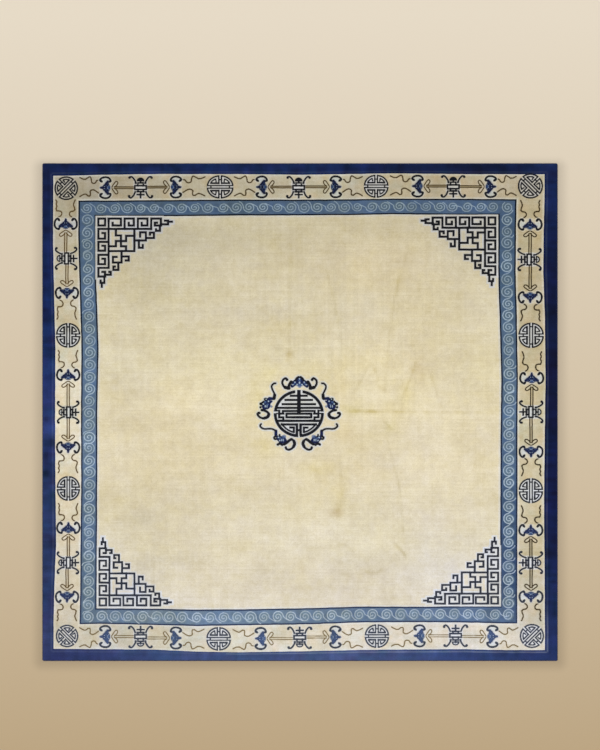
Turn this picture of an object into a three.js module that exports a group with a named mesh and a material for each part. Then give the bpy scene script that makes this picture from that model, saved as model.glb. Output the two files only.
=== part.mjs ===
// A Peking rug lying flat: one hand-knotted piece, its wool pile standing on a cotton foundation.
// Millimetres, +Z up. The origin is the middle of the back, where the rug rests on the floor.
// +X runs along the wider side and +Y along the shorter one.

import * as THREE from 'three';
import { mergeVertices } from 'three/addons/utils/BufferGeometryUtils.js';

const rugWidth = 3500; // along X
const rugLength = 3380; // along Y
const cornerRadius = 9; // the selvedge turns each corner on a small round
const cornerSteps = 6; // straight facets in each corner's round

// The edge, read from the floor up and inward. Inset is measured from the rug's outermost line.
// The overcast selvedge is round and low, and the pile stands up just inside it.
const edgeProfile = [
  { inset: 3.0, height: 0.0 }, // selvedge meets the floor
  { inset: 0.9, height: 0.8 },
  { inset: 0.0, height: 2.2 }, // selvedge at its widest
  { inset: 0.9, height: 3.6 },
  { inset: 3.0, height: 4.4 }, // crown of the selvedge
  { inset: 5.2, height: 4.2 }, // root of the pile
  { inset: 5.6, height: 6.4 }, // outermost tufts
  { inset: 7.4, height: 8.1 }, // shorn shoulder
  { inset: 11.0, height: 9.0 }, // level top of the pile
];

// One turn round the rug, anticlockwise from above, at a given inset.
function outlineAt(inset) {
  const radius = Math.max(cornerRadius - inset * 0.5, 1);
  const halfX = rugWidth / 2 - inset;
  const halfY = rugLength / 2 - inset;
  const corners = [
    { x: halfX - radius, y: halfY - radius, start: 0 },
    { x: -halfX + radius, y: halfY - radius, start: 0.5 },
    { x: -halfX + radius, y: -halfY + radius, start: 1 },
    { x: halfX - radius, y: -halfY + radius, start: 1.5 },
  ];
  return corners.flatMap(({ x, y, start }) =>
    Array.from({ length: cornerSteps + 1 }, (_, step) => {
      const angle = Math.PI * (start + (0.5 * step) / cornerSteps);
      return new THREE.Vector2(x + radius * Math.cos(angle), y + radius * Math.sin(angle));
    })
  );
}

// Lofts the outline through the profile and closes it with a flat back and a flat top.
function loftedSlab(profile) {
  const rings = profile.map(({ inset, height }) =>
    outlineAt(inset).map((point) => new THREE.Vector3(point.x, point.y, height))
  );
  const count = rings[0].length;
  const points = rings.flat();
  const faces = [];
  for (let ring = 0; ring < rings.length - 1; ring += 1) {
    for (let side = 0; side < count; side += 1) {
      const next = (side + 1) % count;
      const low = ring * count;
      const high = low + count;
      faces.push([low + side, low + next, high + next], [low + side, high + next, high + side]);
    }
  }
  const cap = THREE.ShapeUtils.triangulateShape(outlineAt(profile[0].inset), []);
  const top = (rings.length - 1) * count;
  for (const [a, b, c] of cap) {
    faces.push([a, c, b], [top + a, top + b, top + c]);
  }
  const geometry = new THREE.BufferGeometry().setFromPoints(points);
  geometry.setIndex(faces.flat());
  return mergeVertices(geometry);
}

function makeRug() {
  const geometry = loftedSlab(edgeProfile);
  geometry.computeVertexNormals();
  const wool = new THREE.MeshStandardMaterial({ color: 0xd9cfb4, roughness: 0.92, metalness: 0 });
  const mesh = new THREE.Mesh(geometry, wool);
  mesh.name = 'rug';
  return mesh;
}

const rug = new THREE.Group();
rug.add(makeRug());

export default rug;
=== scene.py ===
import math

import bmesh
import bpy
import numpy as np
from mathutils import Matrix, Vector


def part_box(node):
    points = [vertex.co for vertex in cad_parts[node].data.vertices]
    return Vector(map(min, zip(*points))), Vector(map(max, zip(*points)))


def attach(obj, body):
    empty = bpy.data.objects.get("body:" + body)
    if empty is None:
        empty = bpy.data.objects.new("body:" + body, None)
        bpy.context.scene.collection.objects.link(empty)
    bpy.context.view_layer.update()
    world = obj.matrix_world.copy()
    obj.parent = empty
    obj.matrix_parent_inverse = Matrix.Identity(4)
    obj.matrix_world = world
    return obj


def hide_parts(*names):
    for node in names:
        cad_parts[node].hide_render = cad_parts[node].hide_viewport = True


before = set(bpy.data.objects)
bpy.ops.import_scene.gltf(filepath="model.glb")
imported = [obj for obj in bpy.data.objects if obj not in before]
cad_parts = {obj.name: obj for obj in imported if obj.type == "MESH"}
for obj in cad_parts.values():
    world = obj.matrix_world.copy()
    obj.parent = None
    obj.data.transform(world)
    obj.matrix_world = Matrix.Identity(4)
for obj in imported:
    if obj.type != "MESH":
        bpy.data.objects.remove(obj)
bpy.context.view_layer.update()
rugLow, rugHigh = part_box("rug")
mm = 0.001  # the weaver's chart is in millimetres, the scene in metres
rugWidth = (rugHigh[0] - rugLow[0]) / mm
rugLength = (rugHigh[1] - rugLow[1]) / mm
rugEnds = ("north", "south")  # the other two sides run along y
# The way to each corner from the rug's middle, along x and y
cornerWays = {"northwest": (-1, 1), "northeast": (1, 1), "southwest": (-1, -1), "southeast": (1, -1)}
farOutside = -1e6  # mm, a depth that nothing drawn ever has

# The seeds of each kind of unevenness: the rows of a table count on from theirs
seeds = {
    "scrolls": 5,
    "strayAlongX": 10,
    "strayAlongY": 20,
    "mottle": 41,
    "warpStreaks": 61,
    "pileSwell": 62,
    "cordSwell": 63,
    "dyeOnSides": 71,
    "dyeOnEnds": 81,
    "paintedCreaseShade": 71,
}

view = {
    "viewHeight": 5.09,  # metres of floor from the frame's top to its bottom
    "lens": 85,
    "sensor": 36,
    "aimY": 0.252,  # the rug lies a little low in the frame
}


def putInScene(name, data):
    thing = bpy.data.objects.new(name, data)
    bpy.context.collection.objects.link(thing)
    return thing


def meshOf(name, bm):
    mesh = bpy.data.meshes.new(name)
    bm.to_mesh(mesh)
    bm.free()
    return mesh


def hangCamera():
    data = bpy.data.cameras.new("overheadCamera")
    data.lens = view["lens"]
    data.sensor_width = view["sensor"]
    camera = putInScene("overheadCamera", data)
    distance = view["viewHeight"] * view["lens"] / view["sensor"]
    camera.location = (0, view["aimY"], rugHigh[2] + distance)
    bpy.context.scene.camera = camera
    bpy.context.scene.view_settings.view_transform = "Standard"


hangCamera()

loom = {
    "knot": 3.6,  # mm each way
    "edgeCord": 5.5,  # mm from the rug's edge to its first knot
    "shareYarn": 2.2,  # mm over which two yarns share the knots at a line's edge
    "spareKnots": 12,  # knots of room round the patch that a figure is drawn in
    "strayWaves": ((42, 0.9), (17, 0.35)),  # mm, length and size of the rows' small waves
    "calmEdge": 40,  # mm in from the edge, where those waves are at their full size
    "fadeDepth": 700,  # mm in from the edge, where the bands' wander has died away
    "cornerBlend": 15,  # mm, how softly the colours of two sides meet at a corner
}
bandEnds = {"navy": 21, "border": 68, "guard": 101}  # knots in from the edge
guardLine = 3  # knots in each dark line beside the scrolls
knotsWide = round((rugWidth - 2 * loom["edgeCord"]) / loom["knot"])
knotsLong = round((rugLength - 2 * loom["edgeCord"]) / loom["knot"])

# How far in the bands end along each side, in mm: along, navy, border, guard
wander = {
    "west": [
        (-1410, 78, 254, 368), (-1150, 84, 259, 370), (-900, 95, 260, 372), (-460, 90, 265, 374),
        (-50, 88, 263, 374), (460, 90, 266, 383), (860, 80, 254, 368), (1170, 74, 245, 368),
        (1560, 76, 246, 364),
    ],
    "east": [
        (-1440, 88, 275, 393), (-960, 91, 275, 392), (-580, 94, 273, 390), (-155, 89, 274, 389),
        (220, 84, 271, 384), (660, 89, 278, 396), (950, 99, 286, 405), (1220, 96, 283, 404),
        (1500, 90, 279, 403),
    ],
    "north": [
        (-1560, 86, 254, 360), (-1260, 78, 253, 362), (-950, 74, 251, 361), (-390, 75, 247, 356),
        (0, 79, 248, 355), (370, 74, 245, 353), (620, 70, 241, 347), (1140, 75, 242, 353),
        (1450, 76, 245, 352),
    ],
    "south": [
        (-1560, 83, 248, 356), (-1360, 81, 253, 358), (-1000, 79, 246, 356), (-700, 65, 238, 350),
        (-390, 60, 243, 352), (70, 68, 250, 360), (420, 76, 263, 371), (850, 80, 264, 369),
        (1120, 81, 262, 374), (1400, 75, 256, 374),
    ],
}


def softNoise(x, y, cellX, cellY, seed):
    # smooth blotches from -1 to 1, each about cellX by cellY mm
    size = 1024
    table = np.random.default_rng(seed).uniform(-1, 1, (size, size))
    u, v = x / cellX + size / 2, y / cellY + size / 2
    i, j = np.floor(u).astype(int), np.floor(v).astype(int)
    s, t = u - i, v - j
    s = s * s * (3 - 2 * s)
    t = t * t * (3 - 2 * t)
    i, j, nextI, nextJ = i % size, j % size, (i + 1) % size, (j + 1) % size
    low = table[i, j] * (1 - s) + table[nextI, j] * s
    high = table[i, nextJ] * (1 - s) + table[nextI, nextJ] * s
    return low * (1 - t) + high * t


def bandShift(side, depth, along):
    # how many mm the rows stray inwards, at a depth from one side
    rows = np.array(wander[side], float)
    ends = [loom["edgeCord"] + loom["knot"] * count for count in bandEnds.values()]
    stops = [loom["edgeCord"], *ends, loom["fadeDepth"]]
    shift = np.zeros(depth.shape)
    for number, end in enumerate(ends):
        share = np.interp(depth, stops, np.eye(len(stops))[number + 1])
        shift += share * (np.interp(along, rows[:, 0], rows[:, number + 1]) - end)
    return shift


def stretchWarp():
    # where the corners of the knots lie, in mm
    x = np.linspace(-0.5, 0.5, knotsWide + 1) * (rugWidth - 2 * loom["edgeCord"])
    y = np.linspace(-0.5, 0.5, knotsLong + 1) * (rugLength - 2 * loom["edgeCord"])
    x, y = np.meshgrid(x, y, indexing="ij")
    west, east = rugWidth / 2 + x, rugWidth / 2 - x
    south, north = rugLength / 2 + y, rugLength / 2 - y
    moveX = bandShift("west", west, y) - bandShift("east", east, y)
    moveY = bandShift("south", south, x) - bandShift("north", north, x)
    inside = np.minimum.reduce([west, east, south, north]) - loom["edgeCord"]
    calm = np.clip(inside / loom["calmEdge"], 0, 1)
    for number, (wave, size) in enumerate(loom["strayWaves"]):
        moveX += calm * size * softNoise(x, y, wave, wave, seeds["strayAlongX"] + number)
        moveY += calm * size * softNoise(x, y, wave, wave, seeds["strayAlongY"] + number)
    return x + moveX, y + moveY


def knotMiddles(corners):
    return (corners[:-1, :-1] + corners[1:, :-1] + corners[:-1, 1:] + corners[1:, 1:]) / 4


def cornerKnot(inset, wayX, wayY):
    # the crossing that lies so many knots in from both edges of one corner
    return (inset if wayX < 0 else knotsWide - inset, inset if wayY < 0 else knotsLong - inset)


def countFromEdge(wide, long):
    # how far in from the nearest edge each place of a grid is
    columns = np.minimum(np.arange(wide), np.arange(wide)[::-1])
    rows = np.minimum(np.arange(long), np.arange(long)[::-1])
    return np.minimum(columns[:, None], rows[None, :])


cornerX, cornerY = stretchWarp()
knotX, knotY = knotMiddles(cornerX), knotMiddles(cornerY)
print(f"loom set up: {knotsWide} by {knotsLong} knots")

# Each yarn's colour down the rug, in screen values: y in mm, red, green, blue. Every yarn is darker towards
# the north, partly its own fading and partly painted shade where the light falls off towards the north.
yarns = {
    "cream": [
        (1220, 207, 196, 165), (900, 214, 202, 169), (600, 221, 209, 176), (300, 227, 215, 180),
        (0, 229, 216, 182), (-400, 228, 215, 182), (-800, 227, 216, 185), (-1040, 227, 216, 190),
        (-1240, 228, 218, 196),
    ],
    "snow": [(1400, 200, 198, 192), (0, 215, 217, 216), (-1400, 226, 227, 228)],
    "navy": [(1400, 16, 25, 58), (0, 24, 34, 74), (-1400, 42, 54, 96)],
    "ink": [
        (1400, 17, 18, 25), (800, 21, 21, 28), (0, 23, 24, 31), (-900, 40, 43, 53),
        (-1250, 50, 54, 66), (-1450, 60, 66, 80),
    ],
    "mist": [(1400, 156, 174, 186), (0, 184, 202, 216), (-1400, 194, 208, 222)],
    "teal": [(1400, 90, 107, 116), (0, 106, 126, 136), (-1400, 128, 148, 160)],
    "royal": [(1400, 58, 84, 128), (0, 74, 98, 142), (-1400, 92, 116, 156)],
    "seam": [(1400, 12, 20, 32), (0, 22, 33, 54), (-1400, 48, 61, 90)],
}
# Yarns whose colour goes by sides round the rug, partly from their own uneven fading and partly painted
# light: painted shade darkens them towards the north, and a painted sheen lightens the navy along the
# south. Per side, mm along it, then red, green, blue
fadedAndShadedYarns = {
    "bandNavy": {
        "west": [
            (1640, 15, 28, 66), (830, 16, 34, 84), (0, 35, 53, 106), (-800, 34, 49, 88),
            (-1640, 46, 57, 100),
        ],
        "east": [
            (1640, 16, 33, 79), (1100, 9, 20, 58), (0, 9, 19, 57), (-800, 11, 25, 68),
            (-1640, 35, 50, 98),
        ],
        "north": [(-1690, 15, 31, 73), (0, 18, 35, 78), (1350, 8, 21, 57), (1690, 19, 36, 77)],
        "south": [
            (-1690, 43, 52, 97), (-950, 58, 75, 121), (400, 68, 83, 127), (1085, 50, 68, 116),
            (1690, 37, 52, 99),
        ],
    },
    "ivory": {
        "west": [
            (1400, 177, 168, 144), (900, 199, 189, 162), (0, 231, 221, 196), (-800, 222, 211, 184),
            (-1450, 211, 202, 181),
        ],
        "east": [
            (1400, 184, 170, 136), (900, 191, 177, 143), (0, 206, 193, 159), (-800, 209, 197, 166),
            (-1450, 202, 194, 173),
        ],
        "north": [
            (-1430, 171, 162, 141), (-900, 184, 173, 147), (0, 192, 182, 155), (1290, 188, 174, 146),
        ],
        "south": [
            (-1430, 208, 201, 183), (-900, 215, 208, 190), (0, 224, 216, 199), (1290, 227, 219, 205),
        ],
    },
    "chalk": {
        "west": [(1100, 213, 208, 195), (0, 233, 228, 214), (-1450, 227, 222, 209)],
        "east": [(1100, 214, 207, 188), (0, 222, 216, 199), (-1450, 224, 219, 206)],
        "north": [(0, 205, 202, 188)],
        "south": [(-900, 225, 223, 216), (900, 229, 228, 223)],
    },
    "slate": {
        "west": [(1330, 76, 98, 124), (900, 86, 108, 133), (0, 97, 118, 145), (-1330, 84, 105, 130)],
        "east": [(1330, 60, 82, 108), (900, 72, 94, 118), (0, 89, 111, 138), (-1330, 38, 60, 95)],
        "north": [(-900, 76, 95, 117), (900, 79, 100, 127)],
        "south": [(-900, 112, 132, 154), (900, 100, 122, 152)],
    },
    "ochre": {
        "west": [(0, 86, 64, 26)],
        "east": [(0, 50, 36, 12)],
        "north": [(0, 68, 52, 22)],
        "south": [(0, 122, 103, 66)],
    },
    "olive": {
        "west": [(0, 186, 160, 98)],
        "east": [(0, 150, 131, 78)],
        "north": [(0, 122, 104, 56)],
        "south": [(0, 190, 170, 122)],
    },
}


def toLinear(value):
    value = np.asarray(value, float) / 255
    return np.where(value < 0.04045, value / 12.92, ((value + 0.055) / 1.055) ** 2.4)


def screenTones(rows, along):
    rows = np.array(sorted(rows), float)
    return toLinear(np.stack([np.interp(along, rows[:, 0], rows[:, n]) for n in (1, 2, 3)], -1))


def yarnWithShade(yarn, x, y):
    # a yarn's colour at a place, with its painted shade, blended round the corners where its fading and
    # shade go by sides
    if yarn in yarns:
        return screenTones(yarns[yarn], y)
    colour, total = np.zeros((*x.shape, 3)), np.zeros(x.shape)
    for side, rows in fadedAndShadedYarns[yarn].items():
        across, along, half = (y, x, rugLength / 2) if side in rugEnds else (x, y, rugWidth / 2)
        facing = np.sign(across) == (1 if side in ("east", "north") else -1)
        share = np.where(facing, 1 / (half - abs(across) + loom["cornerBlend"]) ** 3, 0)
        colour += share[..., None] * screenTones(rows, along)
        total += share
    return colour / total[..., None]


groundBands = [  # yarn, its first knot in from the edge, the first knot past it
    ("bandNavy", 0, bandEnds["navy"]),
    ("ivory", bandEnds["navy"], bandEnds["border"]),
    ("seam", bandEnds["border"], bandEnds["border"] + guardLine),
    ("slate", bandEnds["border"] + guardLine, bandEnds["guard"] - guardLine),
    ("seam", bandEnds["guard"] - guardLine, bandEnds["guard"]),
    ("cream", bandEnds["guard"], max(knotsWide, knotsLong)),
]
paleKnots = 4  # how many knots are paler beside a dark band
paleRims = [  # first knot, way on from it, strength, yarn
    (bandEnds["navy"], 1, 0.75, "chalk"),
    (bandEnds["border"] - 1, -1, 0.9, "chalk"),
    (bandEnds["guard"], 1, 0.8, "snow"),
]
navyLine = {
    "inset": 4,  # knots from the navy band's inner edge to its thin pale line
    "share": 0.1,  # how pale the line is
    "southShare": 0.3,  # how much paler it is along the south, east of southFrom
    "southFrom": -500,  # mm
    "southFades": (-1500, -1250),  # mm, where its extra paleness starts to fade and is gone
}
# Uneven dyeing of the outer bands: cell along and across the band in mm, then the
# change in red, green and blue, or in all three at once
unevenDye = {
    "bandNavy": [
        (24, 220, 0.14, 0.16, 0.16),
        (260, 14, 0.12),
        (110, 90, 0.20, 0.22, 0.20),
        (46, 40, 0.20, 0.22, 0.20),
        (70, 60, 0.26, 0.00, 0.08),
    ],
    "ivory": [
        (150, 80, 0.04, 0.04, 0.05),
        (62, 44, 0.05, 0.05, 0.07),
        (30, 26, 0.04, 0.04, 0.06),
        (90, 70, 0.02, -0.02, -0.07),
        (34, 30, 0.02, -0.02, -0.06),
    ],
    "slate": [
        (140, 60, 0.12, 0.08, 0.05),
        (46, 34, 0.10, 0.08, 0.06),
        (20, 18, 0.10),
        (60, 44, 0.08, 0.02, -0.06),
    ],
}
navyEvenness = ((-1650, -1350), (0.6, 1.3))  # y in mm, the share of that unevenness: least in the south


def dyeFading(rows, x, y):
    fromEnd, fromSide = rugLength / 2 - abs(y), rugWidth / 2 - abs(x)
    sideShare = fromEnd / (fromEnd + fromSide)
    change = np.zeros((*x.shape, 3))
    for number, (along, across, *shares) in enumerate(rows):
        cloud = sideShare * softNoise(x, y, across, along, seeds["dyeOnSides"] + number)
        cloud += (1 - sideShare) * softNoise(x, y, along, across, seeds["dyeOnEnds"] + number)
        change += cloud[..., None] * np.array(shares)
    return change


def mixIn(colour, here, yarn, share):
    # some knots take a share of another yarn's colour
    colour[here] += share * (yarnWithShade(yarn, knotX[here], knotY[here]) - colour[here])


def plainBands():
    # the ground yarns: navy band, ivory border, slate guard between its lines, cream field
    count = countFromEdge(knotsWide, knotsLong)
    colour = np.zeros((knotsWide, knotsLong, 3))
    for yarn, first, end in groundBands:
        here = (count >= first) & (count < end)
        colour[here] = yarnWithShade(yarn, knotX[here], knotY[here])
    for start, step, strength, yarn in paleRims:
        for number in range(paleKnots):  # the pale wool fades out from each dark band
            here = count == start + step * number
            mixIn(colour, here, yarn, strength * (1 - number / paleKnots))
    here = count == bandEnds["navy"] - navyLine["inset"]
    southern = np.interp(knotY[here], navyLine["southFades"], (1, 0))
    southern *= knotX[here] > navyLine["southFrom"]
    mixIn(colour, here, "mist", (navyLine["share"] + navyLine["southShare"] * southern)[:, None])
    for yarn, first, end in groundBands:
        if yarn not in unevenDye:
            continue
        here = (count >= first) & (count < end)
        change = dyeFading(unevenDye[yarn], knotX[here], knotY[here])
        if yarn == "bandNavy":
            change *= np.interp(knotY[here], *navyEvenness)[:, None]
        colour[here] *= 1 + change
    return colour


pile = plainBands()


def openPatch(centre, reach, turn=0.0, flip=1):
    # the knots round a figure, with u and v measured along its own directions
    cx, cy = centre
    pitchX, pitchY = rugWidth / knotsWide, rugLength / knotsLong
    i, j = int(cx / pitchX + knotsWide / 2), int(cy / pitchY + knotsLong / 2)
    wide = int(reach / loom["knot"]) + loom["spareKnots"]
    cut = (slice(max(i - wide, 0), i + wide), slice(max(j - wide, 0), j + wide))
    dx, dy = knotX[cut] - cx, knotY[cut] - cy
    c, s = math.cos(turn), math.sin(turn)
    return {"cut": cut, "u": dx * c + dy * s, "v": flip * (dy * c - dx * s)}


def covered(depth):
    # the share of each knot that lies inside a line, from its depth inside it in mm
    return np.clip(depth / loom["shareYarn"] + 0.5, 0, 1)


def lineDepth(patch, points, width):
    u, v = patch["u"], patch["v"]
    depth = np.full(u.shape, farOutside)
    for (u0, v0), (u1, v1) in zip(points, points[1:]):
        runU, runV = u1 - u0, v1 - v0
        run = max(runU**2 + runV**2, 1e-6)
        t = np.clip(((u - u0) * runU + (v - v0) * runV) / run, 0, 1)
        depth = np.maximum(depth, width / 2 - np.hypot(u - u0 - t * runU, v - v0 - t * runV))
    return depth


def barDepth(patch, points, width):
    # a line of square-ended bars, each along u or along v
    depth = np.full(patch["u"].shape, farOutside)
    for (u0, v0), (u1, v1) in zip(points, points[1:]):
        inU = (abs(u1 - u0) + width) / 2 - abs(patch["u"] - (u0 + u1) / 2)
        inV = (abs(v1 - v0) + width) / 2 - abs(patch["v"] - (v0 + v1) / 2)
        depth = np.maximum(depth, np.minimum(inU, inV))
    return depth


def ovalDepth(patch, centre, radii, power=2.0):
    u, v = patch["u"] - centre[0], patch["v"] - centre[1]
    size = (abs(u / radii[0]) ** power + abs(v / radii[1]) ** power) ** (1 / power)
    size = np.maximum(size, 1e-6)
    return np.hypot(u, v) * (1 / size - 1)


def ringDepth(patch, centre, radii, width, power=2.0):
    return width / 2 - abs(ovalDepth(patch, centre, radii, power))


def lay(patch, depth, yarn, strength=1.0):
    # ties the knots of one figure in one yarn
    cover = (strength * covered(depth))[..., None]
    cut = patch["cut"]
    pile[cut] = pile[cut] * (1 - cover) + yarnWithShade(yarn, knotX[cut], knotY[cut]) * cover


def smoothLine(points, steps=4):
    # a soft curve through a few points
    p = np.array([points[0], *points, points[-1]], float)
    line = []
    for a, b, c, d in zip(p, p[1:], p[2:], p[3:]):
        for t in np.arange(steps) / steps:
            line.append(
                0.5 * (2 * b + (c - a) * t + (2 * a - 5 * b + 4 * c - d) * t**2)
                + 0.5 * (3 * b - a - 3 * c + d) * t**3
            )
    return [*line, p[-1]]


def halo(patch, depth, reach=5.0, strength=0.5, yarn="chalk"):
    # the ground is a little paler where it meets dark wool
    lay(patch, depth + reach, yarn, strength)


roundel = {
    "squareness": 2.15,  # 2 is an oval, and more is squarer
    "charted": (88, 75),  # mm, the radii that the maze inside is charted for
    "room": 110,  # mm from the middle
    "line": 11,
    "innerLine": 9.8,
    "gap": 9,  # mm, half the channels that cut the ring
    "inset": 15.8,  # from the ring to the line that follows it inside
    "insideArc": (25, 66),  # degrees, where that line starts and ends
    "ground": 5,  # mm that the white ground reaches past the middle of the ring
    "pale": 1.0,  # how white the ground is inside
}


def tieRoundel(centre, turn, radii, squareness, pale):
    # a round long-life sign: a ring cut in four, and a maze that each quarter repeats
    patch = openPatch(centre, roundel["room"], turn)
    chartedU, chartedV = roundel["charted"]
    patch["v"] *= chartedV / radii[1]
    line, gap = roundel["innerLine"], roundel["gap"]
    radii, power = (radii[0], chartedV), squareness
    grow = radii[0] / chartedU
    side = radii[0] - roundel["line"] / 2
    u, v = abs(patch["u"]), abs(patch["v"])
    lay(patch, ovalDepth(patch, (0, 0), radii, power) + roundel["ground"], "snow", pale)
    ring = ringDepth(patch, (0, 0), radii, roundel["line"], power)
    channels = np.maximum(np.minimum(u - gap + line / 2, v - gap + line / 2), -gap)
    lay(patch, np.minimum(ring, channels), "ink")
    quarter = {"u": u, "v": v, "cut": patch["cut"]}
    innerU, innerV = (radius - roundel["inset"] for radius in radii)
    arc = []
    for t in np.radians(np.linspace(*roundel["insideArc"], 8)):
        arc.append((innerU * math.cos(t) ** (2 / power), innerV * math.sin(t) ** (2 / power)))
    hook = (arc[-1][0] - 3, 37)
    for bars in (  # the maze: the ring's spokes, the short bars beside them, the inner line's foot
        [(0, gap), (side, gap)],
        [(64 * grow, 0), (64 * grow, gap)],
        [(gap, 24), (gap, 68)],
        [(0, 50), (gap, 50)],
        [(gap, 24), arc[0]],
    ):
        lay(quarter, barDepth(quarter, bars, line), "ink")
    lay(quarter, lineDepth(quarter, [*arc, hook], line), "ink")


sign = {
    "room": 105,  # mm from the middle
    "bar": 12,
    "arm": 12.2,
    "blob": 9,  # mm, the radius of the end of an arm
    "fills": [(-3, 28, 16, 1), (19, 30, 12, 0.8), (-23, 30, 8, 0.8)],  # v, half length, width, strength
    "dome": {"middle": 41, "radii": (27, 25), "foot": 38, "rim": 9.5, "eyeFoot": 47},
    "stretch": {"north": (1, 1), "south": (1, 1), "west": (0.93, 1), "east": (0.93, 1.08)},
}
signBars = [
    [(-39, -15.6), (39, -15.6), (39, 9.8), (-39, 9.8), (-39, -15.6)],
    [(-36, 28.7), (36, 28.7)],
    [(-36, -30.7), (36, -30.7)],
    [(-18.5, 9.8), (-18.5, 28.7)],
    [(18.5, 9.8), (18.5, 28.7)],
    [(-18, -15.6), (-18, -30.7)],
    [(18, -15.6), (18, -30.7)],
    [(0, 28.7), (0, 45.6)],
    [(0, -30.7), (0, -71)],
    [(-22, -50.5), (22, -50.5)],
]
signArms = [  # the points of an arm on the right, then the middle of the blob at its end
    ([(32, 26), (35, 38), (44, 54), (53, 65), (62, 71), (73, 70)], (75, 65)),
    ([(37, -32), (44, -50), (56, -66), (67, -72), (78, -68)], (78, -61)),
]


def tieSign(side, centre, turn):
    # the long-life sign that stands between two bats
    patch = openPatch(centre, sign["room"], turn)
    stretchU, stretchV = sign["stretch"][side]
    patch["u"], patch["v"] = patch["u"] / stretchU, patch["v"] / stretchV
    bars = [barDepth(patch, points, sign["bar"]) for points in signBars]
    halo(patch, np.maximum.reduce(bars), reach=7, strength=0.7, yarn="snow")
    for v, half, width, strength in sign["fills"]:
        lay(patch, barDepth(patch, [(-half, v), (half, v)], width), "snow", strength)
    for depth in bars:
        lay(patch, depth, "ink")
    plan = sign["dome"]
    dome = ovalDepth(patch, (0, plan["middle"]), plan["radii"])
    dome = np.minimum(dome, patch["v"] - plan["foot"])
    lay(patch, dome, "ink")
    if side != "north":  # the other sides' domes have a white eye with a dark stroke in it
        lay(patch, np.minimum(dome - plan["rim"], patch["v"] - plan["eyeFoot"]), "snow", 0.9)
        lay(patch, barDepth(patch, [(0, 40), (0, 50)], 7), "ink", 0.8)
    for arm, (blobU, blobV) in signArms:
        for way in (1, -1):
            depth = lineDepth(patch, smoothLine([(way * u, v) for u, v in arm]), sign["arm"])
            halo(patch, depth, reach=4, strength=0.4, yarn="snow")
            lay(patch, depth, "ink")
            lay(patch, ovalDepth(patch, (way * blobU, blobV), (sign["blob"], sign["blob"])), "ink")


bat = {
    "room": 230,  # mm from the middle, ribbons and all
    "borderHalf": 79,  # mm from the middle of the border to its edge
    "middle": 3,  # mm ahead, where the pale wool under it has its middle
    "ground": (44, 80),  # mm, the radii of the pale wool under the whole bat
    "wingGrounds": [("chalk", 57, 34, 22, 0.8), ("mist", 54, 30, 20, 0.4)],  # yarn, v, radii, strength
    "wing": 14,  # mm, the line of a wing
    "knobs": [(33, 50, 9, 8), (-32, 50, 8, 7)],  # u, v, radius u, radius v of the balls at its ends
    "halo": 6,
    "wingSpread": 40,  # mm from the middle to where the ribbons start
    "leafLine": 0.85,  # of the brown line's width
    "stretch": {"north": (0.95, 0.9), "south": (0.94, 0.91), "west": (0.94, 0.96), "east": (0.95, 0.99)},
    "brownLine": {"north": 9.2, "south": 8.2, "west": 8.8, "east": 9.8},  # mm
}
# The bat's own chart, in mm on one half of it: u runs ahead from its middle and v to its side
batWing = [
    (28, 45), (37, 49), (41, 57), (36, 67), (23, 75), (5, 79),
    (-13, 77), (-26, 69), (-33, 58), (-35, 49), (-29, 45),
]
batLeaf = [(-40, 3), (-47, 14), (-55, 26), (-62, 36), (-71, 43), (-80, 38), (-80, 27), (-72, 15), (-59, 4)]
batBody = [  # u, v, radius u, radius v on one half
    (-9, 0, 22, 28),
    (-5, 20, 16, 14),
    (-9, 31, 13, 11),
    (-14, 41, 9, 8.5),
    (8, 11, 12, 12),
    (22, 0, 11, 10),
    (33, 0, 8, 7),
]
batSpots = [(-18, 0, 9, 12), (-3, 14, 4, 4), (-14, 27, 3, 4)]
batFlecks = [(-12, 5, 2.5, 3), (9, 7, 3, 2.5), (-22, 14, 2, 4)]
# Each ribbon as it leaves the bat's wing: the ends' bats trail freer ones than the sides'
ribbons = {
    "ends": [
        [
            (40, 56), (50, 51), (64, 48), (73, 35), (88, 29),
            (103, 37), (106, 55), (115, 74), (134, 67), (150, 57),
        ],
        [(148, 58), (168, 58), (194, 69)],
        [
            (38, -46), (48, -38), (60, -30), (76, -20), (95, -14),
            (114, -23), (113, -40), (116, -55), (131, -56),
        ],
        [(129, -57), (149, -44), (168, -47), (194, -60)],
    ],
    "sides": [
        [(38, 57), (49, 50), (56, 36), (70, 27), (86, 30), (92, 44), (92, 60)],
        [(92, 60), (108, 65), (124, 60), (140, 64), (155, 60), (169, 67)],
        [(38, -50), (49, -42), (59, -29), (74, -25), (87, -34), (91, -52), (100, -62)],
        [(100, -62), (116, -59), (133, -53), (150, -56), (169, -64)],
    ],
}
trails = {  # the lengths of the ribbons: in the corners, and as a share of the way to a roundel
    "ends": {"charted": 194, "corner": 176, "share": 0.66},
    "sides": {"charted": 169, "corner": 165, "share": 0.62},
}
rod = {
    "start": 58,  # mm from the bat's middle
    "half": {"north": 5.9, "south": 7, "west": 7.6, "east": 7.6},  # mm from its middle to its lines
    "fill": {"north": 0.5, "south": 0.12, "west": 0.12, "east": 0.15},
    "line": {"north": 0.8, "south": 0.66, "west": 0.84, "east": 0.84},  # of the brown line's width
}


def tieRod(side, centre, turn, flip, rodEnd):
    # the rod between the sign's box and the leaves behind a bat
    patch = openPatch(centre, bat["room"], turn, flip)
    start, half, line = rod["start"], rod["half"][side], rod["line"][side] * bat["brownLine"][side]
    filled = barDepth(patch, [(half - rodEnd, 0), (-start - half, 0)], 2 * half)
    lay(patch, filled, "olive", rod["fill"][side])
    for v in (half, -half):
        lay(patch, barDepth(patch, [(line / 2 - rodEnd, v), (-start, v)], line), "ochre")


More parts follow.
